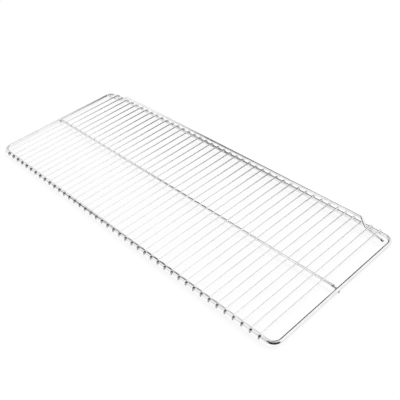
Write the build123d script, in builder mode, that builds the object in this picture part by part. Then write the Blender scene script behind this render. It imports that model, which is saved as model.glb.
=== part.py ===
from build123d import *
from math import acos, cos, degrees, pi, radians, sin, tan
import os

# Wire rack of a cheesemelter. +X runs to the right along the rack, +Y to the back, +Z up.
# The origin lies under the middle of the rack, on the surface that it stands on.

# Frame: one closed loop of round wire, measured between the centres of its wire
frame_length = 840.0
frame_depth = 315.0
frame_wire_d = 6.35
frame_corner_r = 16.0

# Cross wires: they lie over the front and back rails, with each end hooked down round its rail
cross_wire_d = 3.05
cross_wire_pitch = 19.05
end_bay_least = 25.0
hook_drop = 2.8

# Centre stringer: it carries the cross wires at mid depth, and its ends dip under the side rails
stringer_wire_d = 4.76
stringer_stub = 1.8

# Rear stop: a raised wire over the back rail, with its feet under the outer two cross wires
stop_wire_d = 4.76
stop_rise = 9.25
stop_bend_r = 6.0
stop_leg_spread = 15.5
stop_knee_inset = 5.0
stop_rail_gap = 1.5
stop_foot_angle = 10.4
stop_foot_overhang = 18.5

# Hair gap at each weld, where two wires touch
weld_gap = 0.05

# The thinner wires are drawn light: flats around the section, and chords along a hook
wire_flats = 12
hook_chords = 3

# Half sizes of the frame
half_length = frame_length / 2
half_depth = frame_depth / 2

# Heights of the wire centres
frame_z = stringer_wire_d + weld_gap + frame_wire_d / 2
hook_r = frame_wire_d / 2 + weld_gap + cross_wire_d / 2
cross_z = frame_z + hook_r
stringer_z = cross_z - cross_wire_d / 2 - weld_gap - stringer_wire_d / 2
stub_z = stringer_wire_d / 2
foot_z = cross_z - cross_wire_d / 2 - weld_gap - stop_wire_d / 2
stop_z = cross_z + stop_rise

# The cross wires are spread evenly to both sides of the middle
cross_wire_count = int((frame_length - 2 * end_bay_least) / cross_wire_pitch) + 1
outer_wire_x = (cross_wire_count - 1) * cross_wire_pitch / 2

os.makedirs("parts", exist_ok=True)


def start_plane(route, across):
    """Plane square to a route at its start, with its own x along the direction across."""
    wire = route.wire()
    return Plane(origin=wire @ 0, x_dir=across, z_dir=wire % 0)


def wire_section(diameter):
    """Section of a thinner wire, with its flats the diameter apart and facing its own axes."""
    return RegularPolygon(diameter / 2, wire_flats, major_radius=False, rotation=180 / wire_flats)


# Frame: a wire bent to a rectangle with round corners and closed end to end
with BuildPart() as frame:
    with BuildLine(Plane.XY.offset(frame_z)) as frame_route:
        FilletPolyline(
            (half_length, -half_depth),
            (half_length, half_depth),
            (-half_length, half_depth),
            (-half_length, -half_depth),
            radius=frame_corner_r,
            close=True,
        )
    with BuildSketch(start_plane(frame_route, (0, 0, 1))):
        Circle(frame_wire_d / 2)
    sweep()
frame.part.label = "frame"
export_step(frame.part, "parts/frame.step")

# Centre stringer: each end takes two equal bends, the lower one round the side rail
dip_r = frame_wire_d / 2 + weld_gap + stringer_wire_d / 2
dip_angle = degrees(acos(1 - (stringer_z - stub_z) / (2 * dip_r)))
with BuildPart() as centre_stringer:
    with BuildLine(Plane.XZ) as stringer_route:
        left_stub = Line((-half_length - stringer_stub, stub_z), (-half_length, stub_z))
        left_low = JernArc(left_stub @ 1, left_stub % 1, dip_r, dip_angle)
        left_high = JernArc(left_low @ 1, left_low % 1, dip_r, -dip_angle)
        middle_run = Line(left_high @ 1, (-(left_high @ 1).X, stringer_z))
        right_high = JernArc(middle_run @ 1, middle_run % 1, dip_r, -dip_angle)
        right_low = JernArc(right_high @ 1, right_high % 1, dip_r, dip_angle)
        Line(right_low @ 1, (half_length + stringer_stub, stub_z))
    with BuildSketch(start_plane(stringer_route, (0, 1, 0))):
        wire_section(stringer_wire_d)
    sweep()
centre_stringer.part.label = "centre_stringer"
export_step(centre_stringer.part, "parts/centre_stringer.step")

# Rear stop: its legs come down in front of the back rail and its feet turn out and forward
foot_tip_x = outer_wire_x + stop_foot_overhang
knee_x = outer_wire_x - cross_wire_pitch - stop_knee_inset
knee_y = half_depth - frame_wire_d / 2 - stop_rail_gap - stop_wire_d / 2
foot_tip_y = knee_y - (foot_tip_x - knee_x) * tan(radians(stop_foot_angle))
shoulder_x = knee_x - stop_leg_spread
with BuildPart() as rear_stop:
    with BuildLine() as stop_route:
        FilletPolyline(
            (-foot_tip_x, foot_tip_y, foot_z),
            (-knee_x, knee_y, foot_z),
            (-shoulder_x, half_depth, stop_z),
            (shoulder_x, half_depth, stop_z),
            (knee_x, knee_y, foot_z),
            (foot_tip_x, foot_tip_y, foot_z),
            radius=stop_bend_r,
        )
    with BuildSketch(start_plane(stop_route, (0, 0, 1))):
        wire_section(stop_wire_d)
    sweep()
rear_stop.part.label = "rear_stop"
export_step(rear_stop.part, "parts/rear_stop.step")

# Cross wires: straight across the rack, with a quarter turn and a short tail at each end
chord_turn = pi / 2 / hook_chords
chord_corner_r = hook_r / cos(chord_turn / 2)
front_hook = [(-half_depth - hook_r, frame_z - hook_drop)]
for chord in range(hook_chords):
    turned = (chord + 0.5) * chord_turn
    front_hook.append((-half_depth - chord_corner_r * cos(turned), frame_z + chord_corner_r * sin(turned)))
rear_hook = [(-y, z) for y, z in reversed(front_hook)]
for number in range(cross_wire_count):
    wire_x = number * cross_wire_pitch - outer_wire_x
    wire_name = f"cross_wire_{number + 1:02d}"
    with BuildPart() as cross_wire:
        with BuildLine(Plane.YZ.offset(wire_x)) as wire_route:
            Polyline(*front_hook, *rear_hook)
        with BuildSketch(start_plane(wire_route, (1, 0, 0))):
            wire_section(cross_wire_d)
        sweep(transition=Transition.RIGHT)
    cross_wire.part.label = wire_name
    export_step(cross_wire.part, f"parts/{wire_name}.step")
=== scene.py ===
import bpy
import numpy as np
from mathutils import Matrix, Vector


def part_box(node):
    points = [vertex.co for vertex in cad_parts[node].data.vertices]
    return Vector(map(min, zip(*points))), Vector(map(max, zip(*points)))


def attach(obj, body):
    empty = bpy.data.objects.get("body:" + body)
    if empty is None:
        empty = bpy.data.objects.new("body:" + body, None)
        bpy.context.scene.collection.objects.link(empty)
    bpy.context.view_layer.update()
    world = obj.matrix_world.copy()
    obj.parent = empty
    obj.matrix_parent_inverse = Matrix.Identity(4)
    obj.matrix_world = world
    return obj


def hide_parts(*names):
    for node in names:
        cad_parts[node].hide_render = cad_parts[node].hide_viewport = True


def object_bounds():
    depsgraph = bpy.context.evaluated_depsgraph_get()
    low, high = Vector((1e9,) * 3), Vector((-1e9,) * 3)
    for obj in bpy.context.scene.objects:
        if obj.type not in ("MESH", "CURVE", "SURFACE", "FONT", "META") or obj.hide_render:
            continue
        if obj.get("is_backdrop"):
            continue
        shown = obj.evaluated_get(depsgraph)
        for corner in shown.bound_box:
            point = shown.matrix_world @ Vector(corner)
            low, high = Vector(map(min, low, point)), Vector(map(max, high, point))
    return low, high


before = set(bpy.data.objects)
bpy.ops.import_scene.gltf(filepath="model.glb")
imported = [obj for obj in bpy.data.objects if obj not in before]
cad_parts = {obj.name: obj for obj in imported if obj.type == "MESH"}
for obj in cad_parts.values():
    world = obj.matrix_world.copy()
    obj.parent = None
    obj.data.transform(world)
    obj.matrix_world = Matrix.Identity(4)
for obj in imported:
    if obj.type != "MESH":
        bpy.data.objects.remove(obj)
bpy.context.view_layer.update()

# Frame: one length of quarter-inch steel wire, bent at four corners and butt welded into a closed loop.
# It is plated bright with the rest of the rack, after welding.
frame_low, frame_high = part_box("frame")
frame_wire_d = frame_high.z - frame_low.z
frame_corner_r = 0.016
rail_x = frame_high.x - frame_wire_d / 2
rail_y = frame_high.y - frame_wire_d / 2
rail_z = (frame_high.z + frame_low.z) / 2


def bent_route(corners, bend_r, steps, closed=False):
    """Centre line of a bent wire: straight between its corners, with each corner turned on an arc.
    An arc starts bend_r * tan(turn / 2) before its corner. At angle p its point is the start, plus
    bend_r * sin(p) along the run in, plus bend_r * (1 - cos(p)) square to it towards the run out."""
    corners = np.asarray(corners, float)
    before = corners - np.roll(corners, 1, axis=0)
    after = np.roll(corners, -1, axis=0) - corners
    run_in = before / np.linalg.norm(before, axis=1, keepdims=True)
    run_out = after / np.linalg.norm(after, axis=1, keepdims=True)
    bends = slice(None) if closed else slice(1, -1)
    corner, run_in, run_out = corners[bends], run_in[bends], run_out[bends]
    cosine = np.sum(run_in * run_out, axis=1, keepdims=True)
    turn = np.arccos(np.clip(cosine, -1, 1))
    inward = (run_out - cosine * run_in) / np.sin(turn)
    start = corner - bend_r * np.tan(turn / 2) * run_in
    p = (turn * np.linspace(0, 1, steps + 1))[:, :, None]
    arcs = start[:, None] + bend_r * (np.sin(p) * run_in[:, None] + (1 - np.cos(p)) * inward[:, None])
    route = arcs.reshape(-1, 3)
    return route if closed else np.vstack([corners[:1], route, corners[-1:]])


def drawn_wire(name, route, across, wire_d, around, closed=False, cut_edge=0.00035):
    """Round wire carried along a route. At angle a its surface is the route's point, plus the radius
    times (cos(a) * across + sin(a) * (along x across)). A cut end is eased by cut_edge on three rings
    and closed with a flat fan."""
    radius = np.full(len(route), wire_d / 2)
    if not closed:
        ease = np.array([0.0, 0.29, 1.0])
        head, tail = route[1] - route[0], route[-2] - route[-1]
        head_rings = route[0] + np.outer(ease * cut_edge, head / np.linalg.norm(head))
        tail_rings = route[-1] + np.outer(ease * cut_edge, tail / np.linalg.norm(tail))
        end_radius = wire_d / 2 - cut_edge * ease[::-1]
        radius = np.concatenate([end_radius, radius[1:-1], end_radius[::-1]])
        route = np.vstack([head_rings, route[1:-1], tail_rings[::-1]])
    step = np.roll(route, -1, axis=0) - route
    step /= np.linalg.norm(step, axis=1, keepdims=True)
    along = step + np.roll(step, 1, axis=0)
    if not closed:
        along[0], along[-1] = step[0], step[-2]
    along /= np.linalg.norm(along, axis=1, keepdims=True)
    side = np.cross(along, np.asarray(across, float))
    side /= np.linalg.norm(side, axis=1, keepdims=True)
    up = np.cross(side, along)
    a = np.linspace(0, 2 * np.pi, around, endpoint=False)[None, :, None]
    ring = np.cos(a) * up[:, None] + np.sin(a) * side[:, None]
    points = (route[:, None] + radius[:, None, None] * ring).reshape(-1, 3)

    rings = len(route)
    i = np.arange(rings if closed else rings - 1)[:, None]
    j = np.arange(around)[None, :]
    i_next, j_next = (i + 1) % rings, (j + 1) % around
    walls = np.stack([i * around + j, i * around + j_next,
                      i_next * around + j_next, i_next * around + j], axis=-1)
    length = np.concatenate([[0], np.cumsum(np.linalg.norm(np.diff(route, axis=0), axis=1))])
    length = np.append(length, length[-1] + np.linalg.norm(route[0] - route[-1]))
    flat = np.ones_like(i * j, float)
    wall_uv = np.stack([np.stack([length[i] * flat, j / around * flat], -1),
                        np.stack([length[i] * flat, (j + 1) / around * flat], -1),
                        np.stack([length[i + 1] * flat, (j + 1) / around * flat], -1),
                        np.stack([length[i + 1] * flat, j / around * flat], -1)], axis=2)
    faces = walls.reshape(-1, 4).tolist()
    uv = wall_uv.reshape(-1, 2)
    if not closed:
        head_point, tail_point = len(points), len(points) + 1
        points = np.vstack([points, route[:1], route[-1:]])
        j, j_next = j[0], j_next[0]
        tail_ring = (rings - 1) * around
        head_fan = np.stack([np.full(around, head_point), j_next, j], axis=-1)
        tail_fan = np.stack([np.full(around, tail_point), tail_ring + j, tail_ring + j_next], axis=-1)
        faces += head_fan.tolist() + tail_fan.tolist()
        fan_uv = np.stack([np.zeros(6 * around), np.repeat(np.linspace(0, 1, 2 * around), 3)], axis=-1)
        uv = np.vstack([uv, fan_uv])
    mesh = bpy.data.meshes.new(name)
    mesh.from_pydata(points.tolist(), [], faces)
    mesh.uv_layers.new(name="along_wire").data.foreach_set("uv", uv.ravel())
    is_wall = np.arange(len(faces)) < walls.shape[0] * walls.shape[1]
    mesh.polygons.foreach_set("use_smooth", is_wall)
    mesh.attributes.new("cut_end", "FLOAT", "FACE").data.foreach_set("value", (~is_wall).astype(float))
    mesh.update()
    wire = bpy.data.objects.new(name, mesh)
    bpy.context.scene.collection.objects.link(wire)
    return wire


def drawn_plate_group():
    """Bright plating over drawn wire. Fine lines run along the wire from the die, and a soft haze varies
    over the rack. A grey halo lies within a few millimetres of the middle row of welds, at y = 0. Past the
    hook row, on the outside of each hook's bend, a painted dark reflection darkens the plating. Sheared ends
    are dark and dull."""
    group = bpy.data.node_groups.new("drawn_plate", "ShaderNodeTree")
    ports = group.interface
    for title, kind, value in (("Bright Colour", "NodeSocketColor", (0.8, 0.8, 0.8, 1)),
                               ("Hazed Colour", "NodeSocketColor", (0.6, 0.6, 0.6, 1)),
                               ("Weld Halo", "NodeSocketFloat", 0.0),
                               ("Hook Row", "NodeSocketFloat", 0.0),
                               ("Hook Reflection Paint", "NodeSocketFloat", 0.0),
                               ("Smooth", "NodeSocketFloat", 0.1),
                               ("Rough", "NodeSocketFloat", 0.25)):
        ports.new_socket(title, in_out="INPUT", socket_type=kind).default_value = value
    ports.new_socket("Plate Colour", in_out="OUTPUT", socket_type="NodeSocketColor")
    ports.new_socket("Plate Roughness", in_out="OUTPUT", socket_type="NodeSocketFloat")
    ports.new_socket("Die Line Height", in_out="OUTPUT", socket_type="NodeSocketFloat")
    nodes, link = group.nodes, group.links.new
    given, made = nodes.new("NodeGroupInput"), nodes.new("NodeGroupOutput")
    place = nodes.new("ShaderNodeTexCoord")

    lines_along, lines_around = 4, 26
    stretch = nodes.new("ShaderNodeMapping")
    stretch.inputs["Scale"].default_value = (lines_along, lines_around, 1)
    link(place.outputs["UV"], stretch.inputs["Vector"])
    die_lines = nodes.new("ShaderNodeTexNoise")
    die_lines.inputs["Scale"].default_value = 1.0
    die_lines.inputs["Detail"].default_value = 3.0
    link(stretch.outputs["Vector"], die_lines.inputs["Vector"])

    haze = nodes.new("ShaderNodeTexNoise")
    haze.inputs["Scale"].default_value = 55.0
    haze.inputs["Detail"].default_value = 4.0
    link(place.outputs["Object"], haze.inputs["Vector"])

    halo_clear_y, halo_full_y = 0.0055, 0.0015
    split = nodes.new("ShaderNodeSeparateXYZ")
    link(place.outputs["Object"], split.inputs["Vector"])
    away = nodes.new("ShaderNodeMath")
    away.operation = "ABSOLUTE"
    link(split.outputs["Y"], away.inputs[0])
    halo = nodes.new("ShaderNodeMapRange")
    halo.interpolation_type = "SMOOTHSTEP"
    halo.inputs["From Min"].default_value = halo_clear_y
    halo.inputs["From Max"].default_value = halo_full_y
    link(away.outputs["Value"], halo.inputs["Value"])
    near_weld = nodes.new("ShaderNodeMath")
    near_weld.operation = "MULTIPLY"
    link(halo.outputs["Result"], near_weld.inputs[0])
    link(given.outputs["Weld Halo"], near_weld.inputs[1])

    haze_clear, haze_full = 0.42, 0.72
    dull = nodes.new("ShaderNodeMapRange")
    dull.inputs["From Min"].default_value = haze_clear
    dull.inputs["From Max"].default_value = haze_full
    link(haze.outputs["Fac"], dull.inputs["Value"])
    dulled = nodes.new("ShaderNodeMath")
    dulled.operation = "MAXIMUM"
    link(dull.outputs["Result"], dulled.inputs[0])
    link(near_weld.outputs["Value"], dulled.inputs[1])
    colour = nodes.new("ShaderNodeMix")
    colour.data_type = "RGBA"
    link(dulled.outputs["Value"], colour.inputs["Factor"])
    link(given.outputs["Bright Colour"], colour.inputs["A"])
    link(given.outputs["Hazed Colour"], colour.inputs["B"])

    sheared_steel = (0.20, 0.19, 0.18, 1)
    sheared = nodes.new("ShaderNodeAttribute")
    sheared.attribute_name = "cut_end"
    end_colour = nodes.new("ShaderNodeMix")
    end_colour.data_type = "RGBA"
    end_colour.inputs["B"].default_value = sheared_steel
    link(sheared.outputs["Fac"], end_colour.inputs["Factor"])
    link(colour.outputs["Result"], end_colour.inputs["A"])

    # Painted dark reflection: past the hook row, each hook's bend is mixed toward near black.
    dark_reflection_paint = (0.10, 0.10, 0.105, 1)
    bend_clear, bend_full = 0.0022, 0.0040
    past_rail = nodes.new("ShaderNodeMath")
    past_rail.operation = "SUBTRACT"
    link(away.outputs["Value"], past_rail.inputs[0])
    link(given.outputs["Hook Row"], past_rail.inputs[1])
    reflection_paint_mask = nodes.new("ShaderNodeMapRange")
    reflection_paint_mask.interpolation_type = "SMOOTHSTEP"
    reflection_paint_mask.inputs["From Min"].default_value = bend_clear
    reflection_paint_mask.inputs["From Max"].default_value = bend_full
    link(past_rail.outputs["Value"], reflection_paint_mask.inputs["Value"])
    link(given.outputs["Hook Reflection Paint"], reflection_paint_mask.inputs["To Max"])
    reflection_painted_mix = nodes.new("ShaderNodeMix")
    reflection_painted_mix.data_type = "RGBA"
    reflection_painted_mix.inputs["B"].default_value = dark_reflection_paint
    link(reflection_paint_mask.outputs["Result"], reflection_painted_mix.inputs["Factor"])
    link(end_colour.outputs["Result"], reflection_painted_mix.inputs["A"])
    link(reflection_painted_mix.outputs["Result"], made.inputs["Plate Colour"])

    line_share = 0.5
    streaks = nodes.new("ShaderNodeMath")
    streaks.operation = "MULTIPLY_ADD"
    streaks.inputs[1].default_value = line_share
    link(die_lines.outputs["Fac"], streaks.inputs[0])
    link(dulled.outputs["Value"], streaks.inputs[2])
    end_streaks = nodes.new("ShaderNodeMath")
    end_streaks.operation = "ADD"
    link(streaks.outputs["Value"], end_streaks.inputs[0])
    link(sheared.outputs["Fac"], end_streaks.inputs[1])
    roughness = nodes.new("ShaderNodeMapRange")
    link(end_streaks.outputs["Value"], roughness.inputs["Value"])
    link(given.outputs["Smooth"], roughness.inputs["To Min"])
    link(given.outputs["Rough"], roughness.inputs["To Max"])
    link(roughness.outputs["Result"], made.inputs["Plate Roughness"])
    link(die_lines.outputs["Fac"], made.inputs["Die Line Height"])
    return group


drawn_plate = drawn_plate_group()


def plated(name, bright, hazed, smooth, rough, weld_halo=0.0, hook_reflection_paint=0.0, edge_shade=0.0):
    """Metal shader on the drawn plate group, with the die lines as a shallow bump. Edge shade darkens the
    plating where it turns away from the eye."""
    material = bpy.data.materials.new(name)
    material.use_nodes = True
    nodes, link = material.node_tree.nodes, material.node_tree.links.new
    metal = nodes["Principled BSDF"]
    metal.inputs["Metallic"].default_value = 1.0
    plate = nodes.new("ShaderNodeGroup")
    plate.node_tree = drawn_plate
    plate.inputs["Bright Colour"].default_value = (*bright, 1)
    plate.inputs["Hazed Colour"].default_value = (*hazed, 1)
    plate.inputs["Smooth"].default_value = smooth
    plate.inputs["Rough"].default_value = rough
    plate.inputs["Weld Halo"].default_value = weld_halo
    plate.inputs["Hook Row"].default_value = rail_y
    # Strength of the painted dark reflection on the hooks' bends past the hook row.
    plate.inputs["Hook Reflection Paint"].default_value = hook_reflection_paint
    lines = nodes.new("ShaderNodeBump")
    lines.inputs["Strength"].default_value = 0.12
    lines.inputs["Distance"].default_value = 0.0001
    edge_dark = (0.05, 0.05, 0.05, 1)
    edge_clear, edge_full = 0.42, 0.75
    turned_away = nodes.new("ShaderNodeLayerWeight")
    edge = nodes.new("ShaderNodeMapRange")
    edge.interpolation_type = "SMOOTHSTEP"
    edge.inputs["From Min"].default_value = edge_clear
    edge.inputs["From Max"].default_value = edge_full
    edge.inputs["To Max"].default_value = edge_shade
    link(turned_away.outputs["Facing"], edge.inputs["Value"])
    edged = nodes.new("ShaderNodeMix")
    edged.data_type = "RGBA"
    edged.inputs["B"].default_value = edge_dark
    link(edge.outputs["Result"], edged.inputs["Factor"])
    link(plate.outputs["Plate Colour"], edged.inputs["A"])
    link(edged.outputs["Result"], metal.inputs["Base Color"])
    link(plate.outputs["Plate Roughness"], metal.inputs["Roughness"])
    link(plate.outputs["Die Line Height"], lines.inputs["Height"])
    link(lines.outputs["Normal"], metal.inputs["Normal"])
    return material


frame_corners = [(rail_x, -rail_y, rail_z), (rail_x, rail_y, rail_z),
                 (-rail_x, rail_y, rail_z), (-rail_x, -rail_y, rail_z)]
frame_route = bent_route(frame_corners, frame_corner_r, steps=14, closed=True)
frame_loop = drawn_wire("frame_loop", frame_route, across=(0, 0, 1),
                        wire_d=frame_wire_d, around=32, closed=True)
frame_plate = plated("frame_plate", bright=(0.93, 0.93, 0.94), hazed=(0.84, 0.84, 0.85),
                     smooth=0.07, rough=0.16, edge_shade=0.55)
frame_loop.data.materials.append(frame_plate)
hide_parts("frame")
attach(frame_loop, "root")

# Centre stringer: one thinner steel wire under the middle of the deck, resistance welded to every cross
# wire. Its ends take two bends, pass under the side rails and are welded there; the rack stands on them.
stringer_low, stringer_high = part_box("centre_stringer")
stringer_wire_d = stringer_high.y - stringer_low.y
stringer_z = stringer_high.z - stringer_wire_d / 2
stub_z = stringer_low.z + stringer_wire_d / 2
stub_end_x = stringer_high.x
dip_r = rail_z - stub_z
dip_turn = np.arccos(1 - (stringer_z - stub_z) / (2 * dip_r))
dip_reach = dip_r * np.tan(dip_turn / 2)
dip_low_x = rail_x - dip_reach
dip_high_x = dip_low_x - 2 * dip_reach * np.cos(dip_turn)
stringer_corners = [(-stub_end_x, 0, stub_z), (-dip_low_x, 0, stub_z), (-dip_high_x, 0, stringer_z),
                    (dip_high_x, 0, stringer_z), (dip_low_x, 0, stub_z), (stub_end_x, 0, stub_z)]
stringer_route = bent_route(stringer_corners, dip_r, steps=8)
stringer_wire = drawn_wire("stringer_wire", stringer_route, across=(0, 1, 0),
                           wire_d=stringer_wire_d, around=28)
stringer_plate = plated("stringer_plate", bright=(0.94, 0.94, 0.95), hazed=(0.87, 0.87, 0.88),
                        smooth=0.06, rough=0.18, edge_shade=0.7)
stringer_wire.data.materials.append(stringer_plate)
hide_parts("centre_stringer")
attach(stringer_wire, "root")

# Rear stop: one raised steel wire over the back rail, which keeps plates from sliding off the deck. Its legs
# come down in front of the rail, and its feet turn out under the last two cross wires, welded to them.
stop_wire_d = stringer_wire_d
stop_bend_r = 0.006
stop_foot_z = stringer_z
stop_top_z = 0.021985
stop_tip_x, stop_tip_y = 0.409025, 0.142636
stop_knee_x, stop_knee_y = 0.366475, 0.150445
stop_shoulder_x = 0.350975
stop_corners = [(-stop_tip_x, stop_tip_y, stop_foot_z), (-stop_knee_x, stop_knee_y, stop_foot_z),
                (-stop_shoulder_x, rail_y, stop_top_z), (stop_shoulder_x, rail_y, stop_top_z),
                (stop_knee_x, stop_knee_y, stop_foot_z), (stop_tip_x, stop_tip_y, stop_foot_z)]
stop_route = bent_route(stop_corners, stop_bend_r, steps=9)
stop_wire = drawn_wire("stop_wire", stop_route, across=(0, 1, 0), wire_d=stop_wire_d, around=28)
stop_plate = plated("stop_plate", bright=(0.94, 0.94, 0.95), hazed=(0.87, 0.87, 0.88),
                    smooth=0.10, rough=0.22)
stop_wire.data.materials.append(stop_plate)
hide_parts("rear_stop")
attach(stop_wire, "root")

# Cross wires: 42 thin steel wires laid over the frame's rails and the stringer and welded at each crossing.
# Each end is turned down a quarter turn round the outside of its rail and cut off just above the rail's
# underside. A painted dark reflection darkens the plating on the outside of that bend.
cross_names = sorted(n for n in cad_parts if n.startswith("cross_wire_"))
cross_low, cross_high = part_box(cross_names[0])
cross_wire_d = cross_high.x - cross_low.x
deck_z = cross_high.z - cross_wire_d / 2
hook_y = cross_high.y - cross_wire_d / 2
hook_r = hook_y - rail_y
hook_end_z = cross_low.z
cross_plate = plated("cross_plate", bright=(0.98, 0.98, 0.985), hazed=(0.94, 0.94, 0.95),
                     smooth=0.12, rough=0.22, weld_halo=0.6, hook_reflection_paint=0.62)
cross_x = []
for cross_name in cross_names:
    low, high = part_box(cross_name)
    x = (low.x + high.x) / 2
    cross_x.append(x)
    cross_corners = [(x, -hook_y, hook_end_z), (x, -hook_y, deck_z),
                     (x, hook_y, deck_z), (x, hook_y, hook_end_z)]
    cross_route = bent_route(cross_corners, hook_r, steps=10)
    cross_wire = drawn_wire(cross_name + "_drawn", cross_route, across=(1, 0, 0),
                            wire_d=cross_wire_d, around=18)
    cross_wire.data.materials.append(cross_plate)
    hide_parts(cross_name)
    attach(cross_wire, "root")

# Welds: at each crossing the two wires are fused by current and pressure, with no filler.
# A small lip of squeezed steel shows round each joint, plated over and a little duller than the wires.
weld_plate = plated("weld_plate", bright=(0.80, 0.80, 0.80), hazed=(0.66, 0.66, 0.66),
                    smooth=0.18, rough=0.32)
weld_half = (0.0014, 0.0016, 0.0006)
side_weld_half = (0.0020, 0.0020, 0.0008)


def weld_lips(name, places, half_size, rings=6, around=8, last_ring=0.42 * np.pi):
    """One lens of squeezed steel at each place. At latitude b and longitude a its surface is the place, plus
    half_size times (cos(b) * cos(a), cos(b) * sin(a), sin(b)). The rings end at the latitude last_ring,
    and a fan to each pole closes the lens."""
    b = np.linspace(-1, 1, rings)[:, None] * last_ring
    a = np.linspace(0, 2 * np.pi, around, endpoint=False)[None, :]
    lens = np.stack([np.cos(b) * np.cos(a), np.cos(b) * np.sin(a), np.sin(b) + 0 * a], axis=-1)
    low_pole, high_pole = rings * around, rings * around + 1
    lens = np.vstack([lens.reshape(-1, 3), [(0, 0, -1), (0, 0, 1)]]) * half_size
    places = np.asarray(places, float)
    points = (places[:, None] + lens[None]).reshape(-1, 3)
    i, j = np.arange(rings - 1)[:, None], np.arange(around)[None, :]
    j_next = (j + 1) % around
    walls = np.stack([i * around + j, i * around + j_next,
                      (i + 1) * around + j_next, (i + 1) * around + j], axis=-1).reshape(-1, 4)
    j, j_next = j[0], j_next[0]
    top_ring = (rings - 1) * around
    low_fan = np.stack([np.full(around, low_pole), j_next, j], axis=-1)
    high_fan = np.stack([np.full(around, high_pole), top_ring + j, top_ring + j_next], axis=-1)
    shift = (len(lens) * np.arange(len(places)))[:, None, None]
    faces = (walls + shift).reshape(-1, 4).tolist()
    faces += (np.vstack([low_fan, high_fan]) + shift).reshape(-1, 3).tolist()
    mesh = bpy.data.meshes.new(name)
    mesh.from_pydata(points.tolist(), [], faces)
    mesh.polygons.foreach_set("use_smooth", np.ones(len(faces), bool))
    mesh.update()
    welds = bpy.data.objects.new(name, mesh)
    bpy.context.scene.collection.objects.link(welds)
    welds.data.materials.append(weld_plate)
    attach(welds, "root")


under_deck_z = deck_z - cross_wire_d / 2
under_rail_z = rail_z - frame_wire_d / 2
foot_slope = (stop_tip_y - stop_knee_y) / (stop_tip_x - stop_knee_x)
foot_welds = [(x, stop_knee_y + foot_slope * (abs(x) - stop_knee_x), under_deck_z)
              for x in cross_x if abs(x) > stop_knee_x]
weld_lips("front_rail_welds", [(x, -rail_y, under_deck_z) for x in cross_x], weld_half)
weld_lips("back_rail_welds", [(x, rail_y, under_deck_z) for x in cross_x], weld_half)
weld_lips("stringer_welds", [(x, 0, under_deck_z) for x in cross_x], weld_half)
weld_lips("stop_foot_welds", foot_welds, weld_half)
weld_lips("side_rail_welds", [(x, 0, under_rail_z) for x in (-rail_x, rail_x)], side_weld_half)

# Floor: a wide sheet of white board that the rack stands on. It isn't part of the rack.
# To the camera and in the plating it shows as white, and it still takes the rack's soft lilac shadow.
floor_half = 6.0
board_colour = (0.85, 0.85, 0.85, 1)
shaded_colour = (0.20, 0.20, 0.175, 1)
glow_colour = (0.81, 0.81, 0.835, 1)
floor_mesh = bpy.data.meshes.new("floor")
floor_mesh.from_pydata([(-floor_half, -floor_half, 0), (floor_half, -floor_half, 0),
                        (floor_half, floor_half, 0), (-floor_half, floor_half, 0)], [], [(0, 1, 2, 3)])
floor = bpy.data.objects.new("floor", floor_mesh)
bpy.context.scene.collection.objects.link(floor)
floor_board = bpy.data.materials.new("floor_board")
floor_board.use_nodes = True
floor_board.cycles.emission_sampling = "NONE"
board_nodes, board_link = floor_board.node_tree.nodes, floor_board.node_tree.links.new
board_nodes.remove(board_nodes["Principled BSDF"])
board = board_nodes.new("ShaderNodeBsdfDiffuse")
board.inputs["Color"].default_value = board_colour
shaded = board_nodes.new("ShaderNodeBsdfDiffuse")
shaded.inputs["Color"].default_value = shaded_colour
glow = board_nodes.new("ShaderNodeEmission")
glow.inputs["Color"].default_value = glow_colour
white = board_nodes.new("ShaderNodeAddShader")
board_link(shaded.outputs["BSDF"], white.inputs[0])
board_link(glow.outputs["Emission"], white.inputs[1])
ray = board_nodes.new("ShaderNodeLightPath")
seen = board_nodes.new("ShaderNodeMath")
seen.operation = "ADD"
board_link(ray.outputs["Is Camera Ray"], seen.inputs[0])
board_link(ray.outputs["Is Glossy Ray"], seen.inputs[1])
seen_through = board_nodes.new("ShaderNodeMath")
seen_through.operation = "ADD"
seen_through.use_clamp = True
board_link(seen.outputs["Value"], seen_through.inputs[0])
board_link(ray.outputs["Is Transmission Ray"], seen_through.inputs[1])
show = board_nodes.new("ShaderNodeMixShader")
board_link(seen_through.outputs["Value"], show.inputs["Fac"])
board_link(board.outputs["BSDF"], show.inputs[1])
board_link(white.outputs["Shader"], show.inputs[2])
board_link(show.outputs["Shader"], board_nodes["Material Output"].inputs["Surface"])
floor_mesh.materials.append(floor_board)
floor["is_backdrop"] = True

# Black cloth: dull stage cloth, hung in the white studio so that the bright plating has dark lines to show.
# It isn't part of the rack. It appears only in reflections, and only from its inner side.
cloth_colour = (0.010, 0.010, 0.012, 1)
black_cloth = bpy.data.materials.new("black_cloth")
black_cloth.use_nodes = True
black_cloth.cycles.emission_sampling = "NONE"
cloth_nodes, cloth_link = black_cloth.node_tree.nodes, black_cloth.node_tree.links.new
cloth_nodes.remove(cloth_nodes["Principled BSDF"])
cloth_cover = cloth_nodes.new("ShaderNodeAttribute")
cloth_cover.attribute_name = "cover"
black = cloth_nodes.new("ShaderNodeEmission")
black.inputs["Color"].default_value = cloth_colour
clear = cloth_nodes.new("ShaderNodeBsdfTransparent")
cloth_side = cloth_nodes.new("ShaderNodeNewGeometry")
faced = cloth_nodes.new("ShaderNodeMath")
faced.operation = "SUBTRACT"
faced.use_clamp = True
cloth_link(cloth_cover.outputs["Fac"], faced.inputs[0])
cloth_link(cloth_side.outputs["Backfacing"], faced.inputs[1])
hung = cloth_nodes.new("ShaderNodeMixShader")
cloth_link(faced.outputs["Value"], hung.inputs["Fac"])
cloth_link(clear.outputs["BSDF"], hung.inputs[1])
cloth_link(black.outputs["Emission"], hung.inputs[2])
cloth_link(hung.outputs["Shader"], cloth_nodes["Material Output"].inputs["Surface"])


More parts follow.
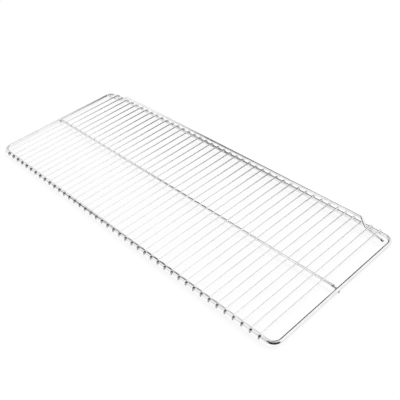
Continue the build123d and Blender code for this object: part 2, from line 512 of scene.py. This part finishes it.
def soft_step(value, clear_at, full_at):
    """Eased step t * t * (3 - 2t), where t runs from 0 at clear_at to 1 at full_at. Each edge of a cloth
    is written as that pair."""
    t = np.clip((value - clear_at) / (full_at - clear_at), 0, 1)
    return t * t * (3 - 2 * t)


def hang_cloth(name, points, cover):
    """Cloth through a grid of points, with its inner side where the rows' direction x the columns' points.
    Cover, from 0 to 1, says how much of it hangs at each point."""
    rows, columns = points.shape[:2]
    i, j = np.arange(rows - 1)[:, None], np.arange(columns - 1)[None, :]
    corners = np.stack([i * columns + j, (i + 1) * columns + j,
                        (i + 1) * columns + j + 1, i * columns + j + 1], axis=-1)
    mesh = bpy.data.meshes.new(name)
    mesh.from_pydata(points.reshape(-1, 3).tolist(), [], corners.reshape(-1, 4).tolist())
    mesh.attributes.new("cover", "FLOAT", "POINT").data.foreach_set("value", cover.ravel())
    mesh.materials.append(black_cloth)
    cloth = bpy.data.objects.new(name, mesh)
    bpy.context.scene.collection.objects.link(cloth)
    cloth.visible_camera = cloth.visible_diffuse = cloth.visible_shadow = False
    cloth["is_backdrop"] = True


# Arch and surround: a narrow cloth bowed over the left of the rack, and far cloths in front, at the left and
# overhead. They lie on domes: at climb c and bearing b a point is the dome's radius times (cos(c) * cos(b),
# cos(c) * sin(b), sin(c)). The value over is a point's angle from the front, up and across to the back.
near_r, far_r = 1.2, 5.0
bearing = np.linspace(-180, 180, 361)[None, :]
climb = np.linspace(0, 90, 91)[:, None]
dome_x = np.cos(np.radians(climb)) * np.cos(np.radians(bearing))
dome_y = np.cos(np.radians(climb)) * np.sin(np.radians(bearing))
dome_z = np.sin(np.radians(climb))
dome = np.stack(np.broadcast_arrays(dome_x, dome_y, dome_z), axis=-1)
over = np.degrees(np.arctan2(dome_z, -dome_y))
arch_x, arch_bow, arch_width = -0.59, 0.13, 0.065
arch_near_over, arch_far_over = 65, 80
arch_off = dome_x - arch_x + arch_bow * np.maximum(np.cos(np.radians(over)), 0)
arch = np.exp(-(arch_off / arch_width) ** 2)
near_arch = arch * soft_step(over, arch_far_over, arch_near_over)
far_arch = arch * soft_step(over, arch_near_over, arch_far_over)
overhead_part = 0.5
overhead_left, overhead_right = (-0.70, -0.64), (-0.40, -0.48)
overhead_front, overhead_back = (60, 66), (110, 102)
overhead = (overhead_part * soft_step(dome_x, *overhead_right) * soft_step(dome_x, *overhead_left)
            * soft_step(over, *overhead_front) * soft_step(over, *overhead_back))
flag_part = 0.8
flag_sides, flag_front, flag_back = (0.34, 0.24), (58, 66), (104, 96)
flag = (flag_part * soft_step(np.abs(dome_x), *flag_sides)
        * soft_step(over, *flag_front) * soft_step(over, *flag_back))
front_left, front_right, front_top = (-114, -106), (8, 0), (56, 48)
front_skirt = (soft_step(bearing, *front_left) * soft_step(bearing, *front_right)
               * soft_step(climb, *front_top))
left_front, left_back, left_top = (172, 166), (147, 150), (30, 20)
left_part, left_doubled, left_doubled_edge = 0.55, 0.40, (157, 153)
left_skirt = ((left_part + left_doubled * soft_step(bearing, *left_doubled_edge))
              * soft_step(bearing, *left_front) * soft_step(bearing, *left_back)
              * soft_step(climb, *left_top))
far_clear = (1 - far_arch) * (1 - overhead) * (1 - flag) * (1 - front_skirt) * (1 - left_skirt)
hang_cloth("black_arch", near_r * dome, near_arch)
hang_cloth("black_surround", far_r * dome, 1 - far_clear)

# Backdrop: a cloth upright behind the rack, with a top that slopes down to the right. It is worn thinner at
# the right and high up, a thin cloth carries on past both of its sides, and its low left corner is open.
backdrop_y = 0.30
backdrop_x = np.linspace(-0.64, 0.46, 56)[:, None]
backdrop_z = np.linspace(0.0, 0.80, 41)[None, :]
slope_z, slope_fall, slope_blur = 0.54, 1.25, 0.05
sloping_top = slope_z - slope_fall * backdrop_x
full_left, full_top = (-0.45, -0.37), (0.79, 0.70)
full_part = (soft_step(backdrop_z, sloping_top + slope_blur, sloping_top - slope_blur)
             * soft_step(backdrop_x, *full_left) * soft_step(backdrop_z, *full_top))
worn_share, worn_left, worn_low = 0.65, (-0.08, 0.02), (0.16, 0.22)
worn_part = worn_share * soft_step(backdrop_x, *worn_left) * soft_step(backdrop_z, *worn_low)
upper_share, upper_left, upper_low = 0.45, (-0.40, -0.30), (0.32, 0.44)
upper_part = upper_share * soft_step(backdrop_z, *upper_low) * soft_step(backdrop_x, *upper_left)
thin_share, thin_doubled, thin_doubled_edge = 0.30, 0.45, (0.0, -0.15)
thin_left, thin_right, thin_top = (-0.62, -0.45), (0.44, 0.28), (0.42, 0.30)
thin_part = ((thin_share + thin_doubled * soft_step(backdrop_x, *thin_doubled_edge))
             * soft_step(backdrop_x, *thin_right) * soft_step(backdrop_x, *thin_left)
             * soft_step(backdrop_z, *thin_top))
open_right, open_top = (-0.16, -0.26), (0.24, 0.14)
low_left = soft_step(backdrop_x, *open_right) * soft_step(backdrop_z, *open_top)
backdrop_cover = np.maximum(full_part * (1 - worn_part) * (1 - upper_part), thin_part) * (1 - low_left)
backdrop = np.stack(np.broadcast_arrays(backdrop_x, backdrop_y, backdrop_z), axis=-1)
hang_cloth("black_backdrop", backdrop, backdrop_cover)

# Floor card: a thin black card flat on the floor. A faint strip of it lies in front of the front rail and a
# fainter one outside the right rail, and a full fan spreads out from the rack's near right corner.
card_z = 0.0004
card_x = np.linspace(-0.45, 0.95, 141)[:, None]
card_y = np.linspace(-0.70, 0.16, 173)[None, :]
front_share, front_near, front_far, front_end = 0.2, (-0.195, -0.172), (-0.160, -0.164), (0.42, 0.40)
front_strip = (soft_step(card_y, *front_near) * soft_step(card_y, *front_far)
               * soft_step(card_x, *front_end))
right_share, right_inner, right_outer, right_end = 0.1, (0.423, 0.427), (0.445, 0.432), (-0.16, -0.14)
right_strip = (soft_step(card_x, *right_outer) * soft_step(card_x, *right_inner)
               * soft_step(card_y, *right_end))
fan_front, fan_right = (-95, -80), (-2, -15)
fan_inner, fan_outer = (0.019, 0.022), (0.55, 0.40)
bend_x, bend_y = card_x - rail_x + frame_corner_r, card_y + rail_y - frame_corner_r
bend_bearing, bend_away = np.degrees(np.arctan2(bend_y, bend_x)), np.hypot(bend_x, bend_y)
corner_fan = (soft_step(bend_bearing, *fan_front) * soft_step(bend_bearing, *fan_right)
              * soft_step(bend_away, *fan_inner) * soft_step(bend_away, *fan_outer))
card_cover = np.maximum.reduce([front_share * front_strip, right_share * right_strip, corner_fan])
hang_cloth("black_card", np.stack(np.broadcast_arrays(card_x, card_y, card_z), axis=-1), card_cover)

# Strip: a low black strip on edge just inside the right rail, which shows as the dark line along that rail.
# It is open in the middle, where the stringer's end passes through it.
strip_x = 0.405
strip_y = np.linspace(-0.150, 0.150, 151)[:, None]
strip_z = np.linspace(0.0, 0.050, 51)[None, :]
strip_share, strip_top, strip_gap = 0.85, (0.045, 0.030), (0.004, 0.010)
strip_front, strip_back = (-0.150, -0.140), (0.150, 0.140)
strip_cover = (strip_share * soft_step(strip_z, *strip_top) * soft_step(strip_y, *strip_front)
               * soft_step(strip_y, *strip_back) * soft_step(np.abs(strip_y), *strip_gap))
hang_cloth("black_strip", np.stack(np.broadcast_arrays(strip_x, strip_y, strip_z), axis=-1), strip_cover)

# Light: a white studio all round the rack, at a plain level. Three tenths of the light on the floor comes
# from one soft lamp high behind the rack, which gives the shadow its side and doesn't show in the plating.
lamp_share = 0.3
lamp_bearing, lamp_climb, lamp_spread = np.radians([75, 50, 35])
world = bpy.data.worlds.new("studio")
bpy.context.scene.world = world
world.use_nodes = True
studio_nodes, studio_link = world.node_tree.nodes, world.node_tree.links.new
studio = studio_nodes["Background"]
studio.inputs["Color"].default_value = (1, 1, 1, 1)
studio_ray = studio_nodes.new("ShaderNodeLightPath")
studio_level = studio_nodes.new("ShaderNodeMapRange")
studio_level.inputs["To Min"].default_value = 1.0
studio_level.inputs["To Max"].default_value = 1 - lamp_share
studio_link(studio_ray.outputs["Is Diffuse Ray"], studio_level.inputs["Value"])
studio_link(studio_level.outputs["Result"], studio.inputs["Strength"])
soft_lamp = bpy.data.lights.new("soft_lamp", "SUN")
soft_lamp.angle = lamp_spread
soft_lamp.energy = lamp_share * np.pi / np.sin(lamp_climb)
lamp = bpy.data.objects.new("soft_lamp", soft_lamp)
to_lamp = Vector((np.cos(lamp_climb) * np.cos(lamp_bearing), np.cos(lamp_climb) * np.sin(lamp_bearing),
                  np.sin(lamp_climb)))
lamp.rotation_euler = to_lamp.to_track_quat("Z", "Y").to_euler()
lamp.visible_glossy = False
bpy.context.scene.collection.objects.link(lamp)

# Camera: in front of the rack's right end, looking down on it and to the left, with a slight lean.
# Its place, aim and lens were solved from the straight wires of the rack.
camera_place = (0.8447, -0.6064, 0.8139)
look_azimuth, look_down, lean = np.radians([51.404, 39.188, 7.260])
camera_data = bpy.data.cameras.new("camera")
camera_data.sensor_width = 36.0
camera_data.lens = 57.463
camera = bpy.data.objects.new("camera", camera_data)
bpy.context.scene.collection.objects.link(camera)
forward = Vector((-np.sin(look_azimuth) * np.cos(look_down), np.cos(look_azimuth) * np.cos(look_down),
                  -np.sin(look_down)))
level_right = forward.cross(Vector((0, 0, 1))).normalized()
level_up = level_right.cross(forward)
camera_up = np.cos(lean) * level_up + np.sin(lean) * level_right
camera_right = np.cos(lean) * level_right - np.sin(lean) * level_up
turn_to_view = Matrix((camera_right, camera_up, -forward)).transposed().to_4x4()
camera.matrix_world = Matrix.Translation(camera_place) @ turn_to_view
bpy.context.scene.camera = camera
bpy.context.scene.view_settings.view_transform = "Standard"

low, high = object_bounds()
